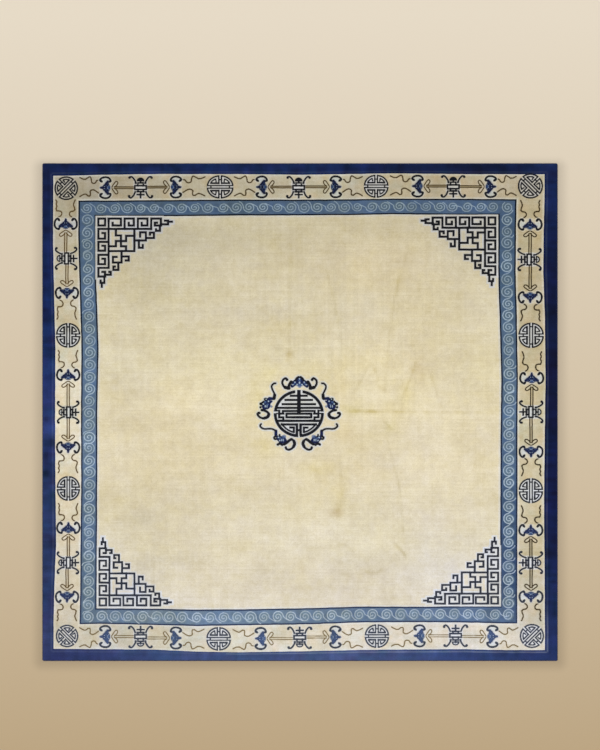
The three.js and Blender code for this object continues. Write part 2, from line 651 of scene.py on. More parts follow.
def tieLeavesAndRibbons(side, patch, space):
    # two leaves behind the bat, and the ribbons that reach into the space ahead of it
    line, spread = bat["brownLine"][side], bat["wingSpread"]
    for way in (1, -1):
        leaf = smoothLine([(u, way * v) for u, v in batLeaf])
        vein = [(-54, way * 10), (-63, way * 24), (-72, way * 34)]
        lay(patch, lineDepth(patch, vein, 11), "chalk", 0.2)
        lay(patch, lineDepth(patch, leaf, bat["leafLine"] * line), "ochre")
    kind = "ends" if side in rugEnds else "sides"
    trail = trails[kind]
    reach = trail["share"] * space if space else trail["corner"]
    stretch = (reach - spread) / (trail["charted"] - spread)
    for ribbon in ribbons[kind]:
        ribbon = [(spread + (u - spread) * stretch, v) for u, v in ribbon]
        lay(patch, lineDepth(patch, smoothLine(ribbon), line), "ochre")


def tieBat(side, centre, turn, flip, space):
    # a bat that flies off from the sign
    patch = openPatch(centre, bat["room"], turn, flip)
    tieLeavesAndRibbons(side, patch, space)
    wings, body = [], []
    along, across = bat["stretch"][side]
    within = bat["borderHalf"] - abs(patch["v"])  # how deep inside the border each knot is
    middle, (radiusU, radiusV) = bat["middle"], bat["ground"]
    lay(patch, ovalDepth(patch, (middle, 0), (radiusU * along, radiusV * across)), "chalk", 0.4)
    for way in (1, -1):
        for yarn, v, radiusU, radiusV, strength in bat["wingGrounds"]:
            ground = ovalDepth(patch, (middle, way * v * across), (radiusU * along, radiusV))
            lay(patch, np.minimum(ground, within), yarn, strength)
        wing = [(u * along, way * v * across) for u, v in batWing]
        wings.append(lineDepth(patch, smoothLine(wing), bat["wing"]))
        wings += [ovalDepth(patch, (u * along, way * v * across), radii) for u, v, *radii in bat["knobs"]]
        body += [ovalDepth(patch, (u, way * v), radii) for u, v, *radii in batBody]
    whole = np.minimum(np.maximum.reduce(wings + body), within - bat["halo"])
    halo(patch, whole, reach=bat["halo"], strength=0.6)
    lay(patch, np.maximum.reduce(body) + 5, "royal", 0.3)
    for depth in body:
        lay(patch, depth, "navy")
        lay(patch, depth, "ink", 0.2)
    for depth in wings:
        lay(patch, depth, "ink")
    if side == "south":
        lay(patch, np.maximum.reduce(body) - 3, "royal", 0.35)
    for way in (1, -1):  # a spot on the middle line is laid twice, so each time it is weaker
        for yarn, spots, strength in (("royal", batSpots, 0.55), ("mist", batFlecks, 0.7)):
            for u, v, *radii in spots:
                lay(patch, ovalDepth(patch, (u, way * v), radii), yarn, strength / (1 if v else 1.6))


# Where the figures stand along each side, in mm from the rug's middle: a roundel is (place, radius
# along, radius across) and a sign is (place, place of the bat on each side of it)
borderFigures = {
    "north": {
        "roundels": ((-542, 86, 74), (517, 79, 73)),
        "signs": ((-1082, -1318, -845), (-9, -257, 240), (1040, 801, 1291)),
    },
    "south": {
        "roundels": ((-552, 79, 75), (522, 78, 75)),
        "signs": ((-1082, -1319, -845), (-2, -264, 237), (1056, 814, 1303)),
    },
    "west": {
        "roundels": ((521, 79, 78), (-518, 79, 74)),
        "signs": ((1043, 1275, 812), (-1, 250, -237), (-1022, -788, -1251)),
    },
    "east": {
        "roundels": ((521, 81, 81), (-533, 80, 78)),
        "signs": ((1036, 1271, 782), (1, 228, -266), (-1022, -804, -1250)),
    },
}
# The corner roundels: eighths of a turn, radius, paleness, then how far each strays along x and y
cornerRoundels = {
    "northwest": (1, 75.5, 0.35, 4, -2),
    "northeast": (-1, 80.3, 0.8, -4, 4),
    "southwest": (-1, 71.5, 0.6, 5, 7),
    "southeast": (1, 77, 0.85, 4, 7),
}
sideTurns = {"north": 0.0, "east": -math.pi / 2, "south": math.pi, "west": math.pi / 2}


def borderSpot(side, along):
    # the middle of the main border at a place along one side
    first, last = bandEnds["navy"], bandEnds["border"]
    if side in rugEnds:
        i = int(np.clip((along / rugWidth + 0.5) * knotsWide, 0, knotsWide - 1))
        ends = (knotsLong - first, knotsLong - last) if side == "north" else (first, last)
        return along, (cornerY[i, ends[0]] + cornerY[i, ends[1]]) / 2
    j = int(np.clip((along / rugLength + 0.5) * knotsLong, 0, knotsLong - 1))
    ends = (knotsWide - first, knotsWide - last) if side == "east" else (first, last)
    return (cornerX[ends[0], j] + cornerX[ends[1], j]) / 2, along


def tieBatsAndSign(side, place, bats):
    # two bats, then the sign between them, then the rods, whose ends meet the sign's box
    turn = sideTurns[side]
    forward = math.cos(turn) if side in rugEnds else math.sin(turn)
    boxEnd = (signBars[0][1][0] + sign["bar"] / 2) * sign["stretch"][side][0]
    rods = []
    for batPlace in bats:
        away = batPlace - place
        beyond = [row[0] - batPlace for row in borderFigures[side]["roundels"]]
        space = min((abs(gap) for gap in beyond if gap * away > 0), default=0)
        ahead = forward * away > 0
        spot = (borderSpot(side, batPlace), turn if ahead else turn + math.pi, 1 if ahead else -1)
        tieBat(side, *spot, space)
        rods.append((*spot, abs(away) - boxEnd))
    tieSign(side, borderSpot(side, place), turn)
    for spot in rods:
        tieRod(side, *spot)


def tieMainBorder():
    for side, figures in borderFigures.items():
        for place, *bats in figures["signs"]:
            tieBatsAndSign(side, place, bats)
        for place, *radii in figures["roundels"]:
            centre = borderSpot(side, place)
            tieRoundel(centre, sideTurns[side], radii, roundel["squareness"], roundel["pale"])
    middle = (bandEnds["navy"] + bandEnds["border"]) // 2
    for name, (turn, radius, pale, strayX, strayY) in cornerRoundels.items():
        knot = cornerKnot(middle, *cornerWays[name])
        centre = (cornerX[knot] + strayX, cornerY[knot] + strayY)
        tieRoundel(centre, turn * math.pi / 4, (radius, radius), 2, pale)


tieMainBorder()
print("main border charted")

scroll = {
    "radius": 37,
    "turns": 1.95,
    "line": 5.4,
    "across": 91.5,  # mm from one scroll to the next, along the ends
    "upright": 82.5,  # and along the sides
    "uneven": 6,
    "grow": (0.90, 1.04),
    "shades": (0.62, 0.92),  # how pale a scroll is, from one to the next
    "heightGrow": (0.94, 1.05),
    "lean": 0.22,
    "height": {"north": 0.88, "south": 1.02, "west": 1.06, "east": 1.06},
}


def tieScroll(centre, turn, gap, grow, height, shade):
    # an arm that leaves the head of the last spiral, dips under and winds into the next one
    patch = openPatch(centre, 130, turn)
    patch["v"] /= height
    radius = scroll["radius"] * grow
    inward = np.linspace(1, 0.12, 46)
    angles = -math.pi / 2 + 2 * math.pi * scroll["turns"] * (1 - inward)
    spiral = [(radius * t * math.cos(a), radius * t * math.sin(a)) for t, a in zip(inward, angles)]
    sweep = [
        (radius * 0.45 - gap, radius * 0.8),
        (radius * 0.85 - gap, radius * 0.62),
        (-1.12 * radius, radius * 0.12),
        (-0.96 * radius, -0.46 * radius),
        (-0.58 * radius, -0.86 * radius),
        (0, -radius),
    ]
    lay(patch, ovalDepth(patch, (0, 0), (radius, radius)), "teal", 0.5)
    line = smoothLine(sweep if gap else sweep[3:]) + spiral[1:]
    lay(patch, lineDepth(patch, line, scroll["line"]), "mist", shade)


def middleOfGuard(side):
    # the places along a side and across it that the middle of the guard runs through
    middle = (bandEnds["border"] + bandEnds["guard"]) // 2
    columns, rows = slice(middle, knotsWide - middle), slice(middle, knotsLong - middle)
    if side in rugEnds:
        row = knotsLong - middle if side == "north" else middle
        return cornerX[columns, row], cornerY[columns, row]
    column = knotsWide - middle if side == "east" else middle
    return cornerY[column, rows], cornerX[column, rows]


def tieGuard():
    chance = np.random.default_rng(seeds["scrolls"])
    for side, turn in sideTurns.items():
        flat = side in rugEnds
        along, across = middleOfGuard(side)
        count = round((along[-1] - along[0]) / scroll["across" if flat else "upright"])
        places = np.linspace(along[0], along[-1], count + 1)
        places[1:-1] += chance.uniform(-1, 1, count - 1) * scroll["uneven"]
        if side in ("south", "east"):
            places = places[::-1]
        for number, place in enumerate(places[:-1]):
            spot = np.interp(place, along, across)
            centre = (place, spot) if flat else (spot, place)
            gap = abs(places[number - 1] - place) if number else 0
            height = scroll["height"][side] * chance.uniform(*scroll["heightGrow"])
            lean = turn + chance.uniform(-1, 1) * scroll["lean"]
            grow, shade = chance.uniform(*scroll["grow"]), chance.uniform(*scroll["shades"])
            tieScroll(centre, lean, gap, grow, height, shade)


tieGuard()
print("scroll guard charted")

# Each corner's own knotting, in mm: its line, how far in from the guard it starts and how much it
# is stretched, both across and along, then the keys of its lower arm as (start, length)
fretCorners = {
    "northwest": {
        "line": 15.5,
        "inset": (15, 16),
        "stretch": (1, 1),
        "keys": ((70, 84), (179, 62), (268, 65)),
    },
    "northeast": {
        "line": 15.8,
        "inset": (20, 17),
        "stretch": (1, 0.99),
        "keys": ((72, 84), (177, 64), (268, 65)),
    },
    "southwest": {
        "line": 14.4,
        "inset": (20, 20),
        "stretch": (0.97, 0.985),
        "keys": ((70, 75), (167, 68), (262, 65)),
    },
    "southeast": {
        "line": 14.4,
        "inset": (13, 16),
        "stretch": (1.005, 0.965),
        "keys": ((66, 84), (168, 72), (262, 68)),
    },
}
fret = {
    "room": 560,  # mm from the field's corner
    "latticeMiddle": 145,
    "keysDown": ((70, 66), (157, 61), (245, 64), (334, 59)),
    "stem": 70,  # mm from the edge of a key to its foot
    "drop": 46,
    "hook": (27, 28),  # mm from the key's start back to its hook, and how far the hook goes up
    "grounds": {"arms": (12, 0.9), "inside": (8, 0.6)},  # mm and strength of the pale wool beside it
}
fretFigures = [
    [(0, 0), (46, 0), (46, 47), (0, 47), (0, 0)],
    [(70, 0), (70, 334)],
    [(70, 70), (359, 70)],
    [(359, 70), (359, 0), (425, 0), (425, 46)],
    [(425, 46), (383, 46), (383, 27), (398, 27)],
    [(418, 46), (418, 82), (391, 82), (391, 72)],
    [(425, 38), (473, 38), (473, 13), (453, 13)],
    [(473, 21), (500, 21)],
    [(45, 381), (85, 381), (85, 361), (75, 361)],
    [(41, 393), (41, 436), (15, 436), (15, 421)],
    [(24, 436), (24, 463)],
]
fretPanel = [
    [(245, 70), (245, 220), (70, 220)],
    [(245, 148), (323, 148), (323, 93), (284, 93), (284, 122)],
    [(323, 131), (378, 131), (378, 95), (350, 95), (350, 108)],
    [(275, 148), (275, 198), (302, 198), (302, 179)],
    [(158, 220), (158, 298), (99, 298), (99, 259), (124, 259)],
    [(158, 257), (206, 257), (206, 284), (186, 284)],
    [(136, 298), (136, 347), (102, 347), (102, 325), (112, 325)],
]
fretLattice = [
    [(119, 70), (119, 114), (154, 114), (154, 188), (188, 188), (188, 220)],
    [(245, 116), (188, 116), (188, 152), (119, 152), (119, 187), (70, 187)],
]


def fretKey(start, length):
    stem, drop, (hookU, hookV) = fret["stem"], fret["drop"], fret["hook"]
    end, hook = start + length, start + hookU
    return [(start, stem), (start, 0), (end, 0), (end, drop), (hook, drop), (hook, hookV)]


def tieFretCorner(name, wayX, wayY):
    # the stepped key fret, drawn from the field's corner along both edges
    plan, knot = fretCorners[name], cornerKnot(bandEnds["guard"], wayX, wayY)
    (insetX, insetY), (stretchX, stretchY) = plan["inset"], plan["stretch"]
    patch = openPatch((cornerX[knot] - wayX * insetX, cornerY[knot] - wayY * insetY), fret["room"])
    patch["u"], patch["v"] = -wayX * patch["u"] / stretchX, -wayY * patch["v"] / stretchY
    arms = fretFigures + [fretKey(*key) for key in plan["keys"]]
    arms += [[(v, u) for u, v in fretKey(*key)] for key in fret["keysDown"]]
    lattice = fretLattice
    if name == "northeast":  # this corner's lattice is knotted the other way up
        lattice = [[(u, 2 * fret["latticeMiddle"] - v) for u, v in points] for points in lattice]
    inside = fretPanel + lattice
    for lines, ground in ((arms, "arms"), (inside, "inside")):
        for points in lines:
            halo(patch, barDepth(patch, points, plan["line"]), *fret["grounds"][ground], "snow")
    for points in arms + inside:
        lay(patch, barDepth(patch, points, plan["line"]), "ink")


for corner, ways in cornerWays.items():
    tieFretCorner(corner, *ways)
print("corner frets charted")

medallion = {
    "centre": (-8, -10),
    "room": 320,
    "radii": (160, 150.5),
    "ring": 20.5,
    "ground": 15,  # mm that the white ground reaches past the middle of the ring
    "topGap": 25,  # mm, half of each gap that cuts the ring
    "footGap": 5.5,
    "sideGap": 5,
    "sideGapAt": (142, 9),  # mm out from the middle and up from it
    "arc": {"radii": (137, 131), "degrees": (-32, -76), "line": 12.5},
    "barGrowth": 4.4,
    "batGrowth": 3.5,
}
medallionBars = [  # width, then the bar's points on the right half
    (21, [(0, 148), (0, 6)]),
    (12, [(10, 121), (53, 121)]),
    (12, [(0, 92.5), (89, 92.5)]),
    (12, [(0, 64), (109, 64)]),
    (12, [(0, 39), (150, 39)]),
    (11, [(0, 18), (108, 18), (108, 1)]),
    (11, [(133, 19), (133, -25), (106, -25), (106, -49)]),
    (10, [(133, 0), (104, 0)]),
    (12, [(0, -1), (84, -1), (84, -25), (0, -25)]),
    (12, [(0, -49), (147, -49)]),
    (14, [(12.5, -75), (12.5, -142)]),
    (10, [(0, -113), (12, -113)]),
    (11, [(12, -74), (117, -74)]),
    (11, [(34, -121), (34, -95), (58, -95)]),
]


def rightHalf(patch, middleU=0):
    return {"u": abs(patch["u"] - middleU), "v": patch["v"], "cut": patch["cut"]}


def tieMedallionSign(patch):
    half = rightHalf(patch)
    radii, (gapU, gapV) = medallion["radii"], medallion["sideGapAt"]
    halo(patch, ovalDepth(patch, (0, 0), radii), medallion["ground"], 1, "snow")
    ring = ringDepth(patch, (0, 0), radii, medallion["ring"])
    topGap = (patch["v"] > 0) & (half["u"] < medallion["topGap"])
    footGap = (patch["v"] < 0) & (half["u"] < medallion["footGap"])
    sideGap = (abs(patch["v"] - gapV) < medallion["sideGap"]) & (half["u"] > gapU)
    lay(patch, np.where(topGap | footGap | sideGap, farOutside, ring), "ink")
    for width, points in medallionBars:
        lay(half, barDepth(half, points, width + medallion["barGrowth"]), "ink")
    plan = medallion["arc"]
    (reachU, reachV), turns = plan["radii"], np.linspace(*np.radians(plan["degrees"]), 8)
    arc = [(reachU * math.cos(t), reachV * math.sin(t)) for t in turns]
    lay(half, lineDepth(half, arc, plan["line"]), "ink")
    for v in (20, 0):
        lay(half, barDepth(half, [(133, v), (152, v)], 10), "ink")


# The medallion's bats on its right half: curves are (width, points), spots (u, v, radius u, radius v)
topBat = {
    "middle": 5,
    "body": [(0, 222, 25, 32), (0, 206, 34, 22)],
    "lines": [(20, [(18, 212), (50, 187)]), (14, [(26, 226), (50, 207)])],
    "spots": [(0, 226, 8, 15), (0, 196, 17, 10), (0, 184, 11, 10), (34, 204, 6, 8)],
    "flecks": [(0, 236, 4, 5), (0, 210, 5, 7), (17, 196, 5, 6), (31, 213, 5, 4), (45, 196, 5, 4)],
    "curves": [
        (12, [(84, 230), (94, 240), (111, 230), (117, 210), (110, 190), (97, 176), (71, 168)]),
        (20, [(98, 178), (74, 172)]),
        (17, [(71, 172), (72, 190), (59, 214)]),
        (10, [(8, 249), (22, 238), (27, 226)]),
    ],
    "blobs": [(85, 230, 10, 10), (56, 214, 11, 12)],
}
upperBat = {
    "middle": 0,
    "body": [(220, 60, 29, 32), (210, 84, 21, 20), (234, 48, 18, 20)],
    "lines": [(17, [(170, 101), (200, 103), (212, 92)]), (10, [(184, 84), (206, 62)])],
    "spots": [(228, 78, 8, 8), (212, 62, 8, 7), (186, 48, 9, 8)],
    "flecks": [(216, 50, 3, 9), (228, 50, 3, 9), (240, 66, 5, 5), (206, 84, 5, 5), (222, 98, 4, 4)],
    "curves": [
        (10, [(157, 206), (170, 204), (183, 190), (183, 174), (174, 152), (165, 134), (163, 112)]),
        (19, [(164, 126), (167, 104)]),
        (14, [(252, 24), (228, 19), (210, 7), (202, -6), (208, -21), (224, -30), (243, -32)]),
        (12, [(243, -32), (262, -26), (276, -13), (280, -1), (273, 6)]),
        (17, [(204, -2), (212, -22), (232, -30)]),
        (10, [(240, 82), (256, 66)]),
    ],
    "blobs": [(225, 98, 13, 11), (256, 66, 12, 11), (260, 43, 8, 9), (268, 4, 10, 9)],
}
lowerBat = {
    "middle": 0,
    "body": [(114, -177, 29, 26), (134, -168, 20, 18), (96, -184, 16, 14)],
    "lines": [(18, [(155, -118), (155, -150)]), (13, [(152, -152), (132, -166)])],
    "spots": [(112, -176, 10, 8), (126, -166, 8, 6), (100, -155, 15, 12)],
    "flecks": [(104, -180, 3, 8), (116, -180, 3, 8), (130, -182, 5, 5), (138, -162, 5, 5)],
    "curves": [
        (10, [(256, -71), (263, -84), (250, -98), (232, -104), (204, -103), (178, -105), (157, -117)]),
        (11, [(156, -154), (168, -161), (164, -172), (154, -172)]),
        (16, [(99, -208), (79, -195), (63, -181), (50, -174)]),
        (12, [(50, -174), (35, -183), (27, -204), (34, -223), (51, -239), (69, -245), (85, -240)]),
        (18, [(33, -188), (28, -205), (36, -224)]),
        (9, [(131, -143), (127, -160)]),
        (14, [(113, -212), (128, -203), (143, -210)]),
    ],
    "blobs": [(88, -231, 9, 10)],
}


def tieFlyingBat(patch, plan):
    half, grow = rightHalf(patch, plan["middle"]), medallion["batGrowth"]
    curves = [(width + grow, smoothLine(points)) for width, points in plan["curves"]]
    body = [ovalDepth(half, spot[:2], spot[2:]) for spot in plan["body"]]
    body += [lineDepth(half, points, width + grow) for width, points in plan["lines"]]
    dark = [lineDepth(half, points, width) for width, points in curves]
    dark += [ovalDepth(half, spot[:2], spot[2:]) for spot in plan["blobs"]]
    halo(half, np.maximum.reduce(body + dark), 10, 0.75, "snow")
    for depth in body:
        lay(half, depth, "navy")
    for depth in dark:
        lay(half, depth, "ink")
    for yarn, spots, strength in (("royal", plan["spots"], 0.75), ("mist", plan["flecks"], 0.9)):
        for spot in spots:
            lay(half, ovalDepth(half, spot[:2], spot[2:]), yarn, strength)


def tieMedallion():
    patch = openPatch(medallion["centre"], medallion["room"])
    for flyingBat in (topBat, upperBat, lowerBat):
        tieFlyingBat(patch, flyingBat)
    tieMedallionSign(patch)


tieMedallion()
print("medallion charted")

# Soft patches where the pile is darker or lighter: x, y, reach across and along, then the change in red,
# green and blue, or in all three at once
tonePatches = [
    (-960, 900, 300, 330, -0.10, -0.10, -0.12),
    (-1200, 250, 170, 480, -0.07, -0.07, -0.06),
    (-1100, -710, 260, 300, -0.04),
    (-600, 100, 160, 260, 0.05, 0.06, 0.09),
    (600, 1050, 560, 220, 0.08, 0.06, 0.05),
    (246, -682, 48, 30, -0.18, -0.23, -0.28),
    (262, -640, 28, 62, -0.09, -0.11, -0.19),
    (-72, 388, 26, 38, -0.15, -0.20, -0.34),
    (-148, 432, 26, 22, -0.09, -0.10, -0.16),
    (800, 290, 70, 76, -0.09, -0.12, -0.18),
    (606, -104, 42, 36, -0.13, -0.14, -0.26),
    (-290, 90, 60, 170, -0.02, -0.04, -0.19),
    (-235, -225, 85, 75, -0.02, -0.04, -0.19),
    (-205, 270, 55, 75, 0.00, -0.01, -0.13),
    (50, 310, 130, 50, 0.01, 0.00, -0.08),
    (285, 140, 50, 150, 0.02, 0.00, -0.08),
    (100, -380, 130, 55, -0.04, -0.06, -0.20),
    (300, -140, 90, 75, -0.02, -0.05, -0.14),
    (272, -580, 42, 110, -0.03, -0.05, -0.15),
    (350, 15, 80, 40, 0.00, 0.00, -0.13),
    (720, 120, 45, 80, 0.01, 0.00, -0.11),
    (660, 10, 230, 60, 0.01, 0.00, -0.08),
    (400, 320, 420, 90, 0.01, 0.00, -0.04),
    (180, -450, 110, 110, -0.03, -0.04, -0.08),
    (110, -790, 85, 85, 0.06, 0.06, 0.07),
    (-500, -800, 700, 90, 0.00, 0.00, 0.05),
    (-400, 690, 700, 65, 0.00, 0.01, 0.06),
    (960, -740, 260, 110, 0.00, 0.00, 0.07),
    (-1060, -730, 120, 42, -0.07),
    (-880, -1000, 230, 55, -0.05),
    (640, -1005, 55, 42, -0.06, -0.07, -0.09),
    (500, -1085, 85, 35, -0.05, -0.06, -0.08),
    (910, -1150, 90, 80, 0.05),
    (-780, 90, 170, 150, 0.06),
    (420, -450, 110, 130, 0.06, 0.06, 0.07),
    (400, 1000, 110, 120, 0.06, 0.06, 0.05),
    (-700, 1190, 420, 90, -0.07),
    (420, -1000, 260, 80, -0.06, -0.06, -0.07),
    (880, -330, 330, 330, 0.04, 0.05, 0.11),
    (650, 420, 420, 380, 0.06, 0.05, 0.04),
    (960, -1090, 260, 190, 0.01, 0.05, 0.20),
    (-1080, -1120, 260, 220, -0.07, -0.07, -0.09),
    (-1130, -1190, 120, 120, -0.06, -0.02, 0.14),
    (-1050, 1130, 260, 200, -0.07),
    (-1120, 1200, 120, 110, -0.02, 0.02, 0.12),
    (1120, 1150, 190, 170, -0.10, -0.07, 0.02),
    (-200, -1080, 200, 50, -0.03),
    (-20, 410, 130, 60, -0.05),
]
# Mottling of the whole pile: cell across and along in mm, change in red, green, blue
mottle = [
    (430, 300, 0.028, 0.034, 0.050),
    (240, 200, 0.029, 0.034, 0.048),
    (120, 95, 0.029, 0.034, 0.048),
    (62, 50, 0.028, 0.033, 0.047),
    (30, 25, 0.030, 0.036, 0.050),
    (640, 26, 0.012, 0.014, 0.020),
    (420, 11, 0.015, 0.018, 0.026),
    (14, 170, 0.020, 0.024, 0.034),
    (210, 180, -0.004, 0.002, 0.036),
    (95, 85, -0.004, 0.000, 0.026),
    (45, 40, -0.003, 0.000, 0.026),
    (22, 18, -0.002, 0.000, 0.026),
    (16, 13, 0.034, 0.040, 0.056),
]
# Soft creases left by folding: width and height in mm, the painted shade along one (below 0 a painted
# highlight), the points it runs through
creases = [
    (34, 2.2, 0.11, [(-66, 1189), (-70, 800), (-68, 380)]),
    (30, 1.8, 0.09, [(158, 1053), (214, 829), (262, 600), (282, 400)]),
    (30, 1.8, 0.11, [(746, 1150), (690, 960), (644, 784), (588, 331), (565, 60)]),
    (28, 1.6, 0.10, [(339, 82), (429, 241), (480, 345), (520, 250), (545, 150)]),
    (26, 1.2, 0.15, [(701, 105), (769, 286), (791, 354)]),
    (28, 1.6, 0.10, [(868, 300), (905, 200), (955, 20)]),
    (36, -2.4, 0.26, [(318, 8), (600, 2)]),
    (36, -2.0, 0.15, [(540, 2), (1300, -4)]),
    (34, 1.6, -0.04, [(-917, 4), (-333, 0)]),
    (26, 1.2, 0.10, [(335, -110), (429, -212)]),
    (26, 1.2, 0.22, [(560, -50), (615, -110), (650, -140)]),
    (28, 1.4, 0.13, [(588, -160), (644, -393), (678, -528), (701, -800), (712, -930)]),
    (26, 1.0, 0.08, [(262, -350), (288, -500), (285, -640)]),
    (26, 1.2, 0.16, [(244, -890), (310, -903), (368, -950)]),
    (26, 1.4, 0.28, [(640, -895), (700, -950), (716, -990)]),
    (26, 1.4, 0.14, [(430, -1078), (520, -1094), (560, -1050)]),
    (26, 1.0, -0.06, [(-590, 1090), (-500, 940), (-410, 800)]),
    (26, 1.0, 0.10, [(-478, 340), (-472, 230)]),
]
# How the painted shade along the creases is laid: its width, its tint and the patches it lies in
creaseLook = {
    "paintedCreaseShadeWidth": 10,  # mm
    "paintedCreaseShadeTint": (0.85, 1, 1.6),  # how much of it each of red, green and blue loses
    "patches": (45, 40),  # mm, size of the patches that the painted crease shade lies in
    "ends": (4, 0.2),  # how soon a crease fills from its end, and how full it is there
}
warpStreaks = {"place": (300, 520, 560, 700), "cells": (13, 380), "change": 0.04}


def nearCrease(points, x, y):
    # the distance from a crease, and how full the crease is there, which fades at both its ends
    points = smoothLine(points, 2)
    steps = [math.dist(a, b) for a, b in zip(points, points[1:])]
    near, along, passed = np.full(x.shape, -farOutside), np.zeros(x.shape), 0
    for (x0, y0), (x1, y1), step in zip(points, points[1:], steps):
        t = np.clip(((x - x0) * (x1 - x0) + (y - y0) * (y1 - y0)) / step**2, 0, 1)
        away = np.hypot(x - x0 - t * (x1 - x0), y - y0 - t * (y1 - y0))
        along = np.where(away < near, (passed + t * step) / sum(steps), along)
        near = np.minimum(near, away)
        passed += step
    soon, least = creaseLook["ends"]
    return near, np.clip(np.minimum(along, 1 - along) * soon + least, 0, 1)


def nearSpot(x, y, reachX, reachY):
    return np.exp(-(((knotX - x) / reachX) ** 2) - ((knotY - y) / reachY) ** 2)


# Darker and lighter patches, mottling and streaks in the pile, and painted shade along the creases
def toneAndShadePile():
    change = np.zeros((*knotX.shape, 3))
    for x, y, reachX, reachY, *amounts in tonePatches:
        change += nearSpot(x, y, reachX, reachY)[..., None] * np.array(amounts)
    for number, (cellX, cellY, *shares) in enumerate(mottle):
        cloud = softNoise(knotX, knotY, cellX, cellY, seeds["mottle"] + number)
        change += cloud[..., None] * np.array(shares)
    # painted shade along each crease, in patches; where its amount is below 0 it is a painted highlight
    patchy = 0.75 + 0.5 * softNoise(knotX, knotY, *creaseLook["patches"], seeds["paintedCreaseShade"])
    for width, rise, paintedCreaseShade, points in creases:
        near, full = nearCrease(points, knotX, knotY)
        shadeInCrease = paintedCreaseShade * full * patchy * np.exp(-((near / creaseLook["paintedCreaseShadeWidth"]) ** 2))
        change -= shadeInCrease[..., None] * np.array(creaseLook["paintedCreaseShadeTint"])
    streak = softNoise(knotX, knotY, *warpStreaks["cells"], seeds["warpStreaks"])
    change += (warpStreaks["change"] * nearSpot(*warpStreaks["place"]) * streak)[..., None]
    return pile * (1 + change)


pile = toneAndShadePile()

folds = {
    "pileTop": rugHigh[2] / mm,
    "carve": 0.6,  # mm that the pile dips between two yarns
    "carveTone": 0.5,  # the step in tone between two yarns that makes it dip so far
    "swell": 0.5,
    "swellSize": (260, 190),
    "edgeDrop": (2.6, 1.0, 0.3),  # mm that the outermost knots lean down
}


def pileHeights():
    height = np.full(cornerX.shape, folds["pileTop"])
    height += folds["swell"] * softNoise(cornerX, cornerY, *folds["swellSize"], seeds["pileSwell"])
    for width, rise, paintedCreaseShade, points in creases:
        near, full = nearCrease(points, cornerX, cornerY)
        height += rise * full * np.exp(-((near / width) ** 2))
    tone = pile.sum(-1)
    stepX, stepY = abs(np.diff(tone, axis=0)), abs(np.diff(tone, axis=1))
    edge = np.zeros(cornerX.shape)
    edge[1:-1, 1:-1] = np.maximum.reduce([stepX[:, 1:], stepX[:, :-1], stepY[1:, :], stepY[:-1, :]])
    height -= folds["carve"] * np.clip(edge / folds["carveTone"], 0, 1)
    count = countFromEdge(knotsWide + 1, knotsLong + 1)
    for number, drop in enumerate(folds["edgeDrop"]):
        height[count == number] = folds["pileTop"] - drop
    return height


cornerZ = pileHeights()
pileSums = np.zeros((knotsWide + 1, knotsLong + 1, 3))
pileSums[1:, 1:] = pile.cumsum(0).cumsum(1)
print("pile heights set")

slab = {"backTop": 3.0, "pileFoot": 2.9}  # mm, the cotton back and the foot of the pile
topFace, wallFace, underside = 0, 1, 2
spareMap = {
    "gap": 10,  # knots between the rows of strips
    "wallSpread": 2.5,  # knots that a wall spreads out from the top
    "underside": (0.001, 0.003),  # where the underside is tucked away, and how small it is there
}


def knotLines(first, end, step, atRim):
    # which lines of knots a piece's mesh keeps: more of them beside the rug's own edge
    lines = set(range(first, end, step)) | {end}
    lines |= {first + 1, first + 2} if atRim[0] else set()
    lines |= {end - 1, end - 2} if atRim[1] else set()
    return np.array(sorted(lines))


def stripMap(u, v, cell, lines, kind, turns):
    # a second map with long strips laid in several rows, so that a baked copy stays sharp
    long = 0 if len(lines[0]) >= len(lines[1]) else 1
    along, over = (u, v) if long == 0 else (v, u)
    start, low, gap = lines[long][0], lines[1 - long][0], spareMap["gap"]
    rowLength = math.ceil((lines[long][-1] - start) / turns)
    rowHeight = lines[1 - long][-1] - low + gap
    row = (lines[long][cell[long]] - start) // rowLength
    size = max(rowLength + 2 * gap, rowHeight * turns + gap)
    strips = np.stack([along - start - row * rowLength, over - low + row * rowHeight], -1)
    strips = (strips + gap) / size
    corner, share = spareMap["underside"]
    return np.where((kind == underside)[:, None], corner + share * strips, strips)


def slabOfKnots(countI, countJ):
    # a flat grid with walls and an underside, from -1 to 1 each way
    bm = bmesh.new()
    bmesh.ops.create_grid(bm, x_segments=countI, y_segments=countJ, size=1)
    outline = [edge for edge in bm.edges if edge.is_boundary]
    sides = bmesh.ops.extrude_edge_only(bm, edges=outline)["geom"]
    foot = [part for part in sides if isinstance(part, bmesh.types.BMVert)]
    bmesh.ops.translate(bm, verts=foot, vec=(0, 0, -1))
    outline = [edge for edge in bm.edges if edge.is_boundary]
    bmesh.ops.edgeloop_fill(bm, edges=outline)
    bmesh.ops.recalc_face_normals(bm, faces=bm.faces)
    return bm


def readAll(items, field, width, kind=float):
    values = np.empty(len(items) * width, kind)
    items.foreach_get(field, values)
    return values.reshape(-1, width) if width > 1 else values


def dyeFaces(mesh, lines, cell):
    # each face takes the mean colour of its own knots
    i0, i1 = lines[0][cell[0]], lines[0][cell[0] + 1]
    j0, j1 = lines[1][cell[1]], lines[1][cell[1] + 1]
    total = pileSums[i1, j1] - pileSums[i0, j1] - pileSums[i1, j0] + pileSums[i0, j0]
    colour = np.ones((len(mesh.polygons), 4))
    colour[:, :3] = total / ((i1 - i0) * (j1 - j0))[:, None]
    yarn = mesh.attributes.new("yarn", "FLOAT_COLOR", "FACE")
    yarn.data.foreach_set("color", colour.ravel())


